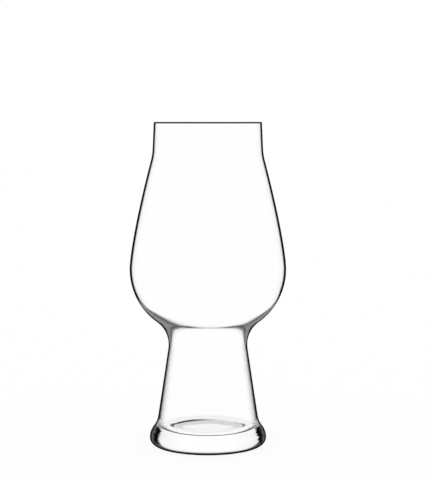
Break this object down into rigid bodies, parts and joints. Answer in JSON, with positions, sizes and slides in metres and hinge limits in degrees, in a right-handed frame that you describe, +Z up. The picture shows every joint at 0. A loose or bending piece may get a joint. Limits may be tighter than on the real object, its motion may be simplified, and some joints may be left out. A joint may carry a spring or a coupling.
{
  "type": "beer glass",
  "caption": "Tall clear beer glass with a tulip bowl, nearly straight neck, narrow waist, hollow flared stem that fills with the drink, and a thick solid round base.",
  "frame": {"origin": "centre of the circle that the glass stands on, on its axis", "axes": "+Z up along the axis of the glass, towards the rim; the glass is round, so +X and +Y are alike"},
  "size_m": [0.0894, 0.0894, 0.185],
  "materials": {
    "bowl_glass": "thin clear blown glass, polished",
    "stem_glass": "clear blown glass with a slightly thicker wall, polished",
    "base_glass": "thick solid clear glass, polished"
  },
  "bodies": {
    "root": {"bowl": "bowl_glass", "stem": "stem_glass", "base": "base_glass"}
  },
  "joints": []
}
